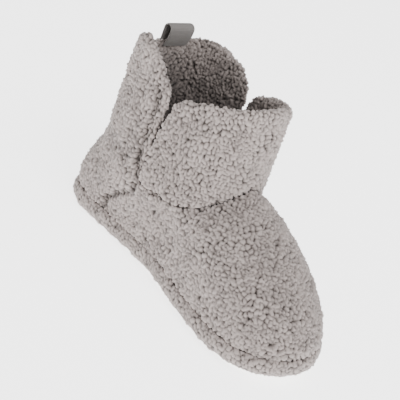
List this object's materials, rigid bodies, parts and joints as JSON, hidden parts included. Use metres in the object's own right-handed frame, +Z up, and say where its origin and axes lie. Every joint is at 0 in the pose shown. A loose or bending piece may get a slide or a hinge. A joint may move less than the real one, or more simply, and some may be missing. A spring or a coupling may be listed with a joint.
{
  "type": "bootie slipper",
  "caption": "Ankle-high bootie slipper of curly fleece, left foot, with a notched collar, pull loop and soft rubber outsole.",
  "frame": {"origin": "centre of the footprint on the floor plane", "axes": "+Y towards the heel, so the toe points to -Y; +Z up; -X is the medial side"},
  "size_m": [0.1064, 0.2632, 0.1659],
  "materials": {
    "fleece": "curly pile fleece, grey taupe",
    "tread_rubber": "matt light grey moulded rubber",
    "webbing": "ribbed dark grey webbing"
  },
  "bodies": {
    "root": {"outsole": "tread_rubber", "rand": "fleece", "insole": "fleece", "upper": "fleece", "shaft_front": "fleece", "pull_loop": "webbing"}
  },
  "joints": []
}
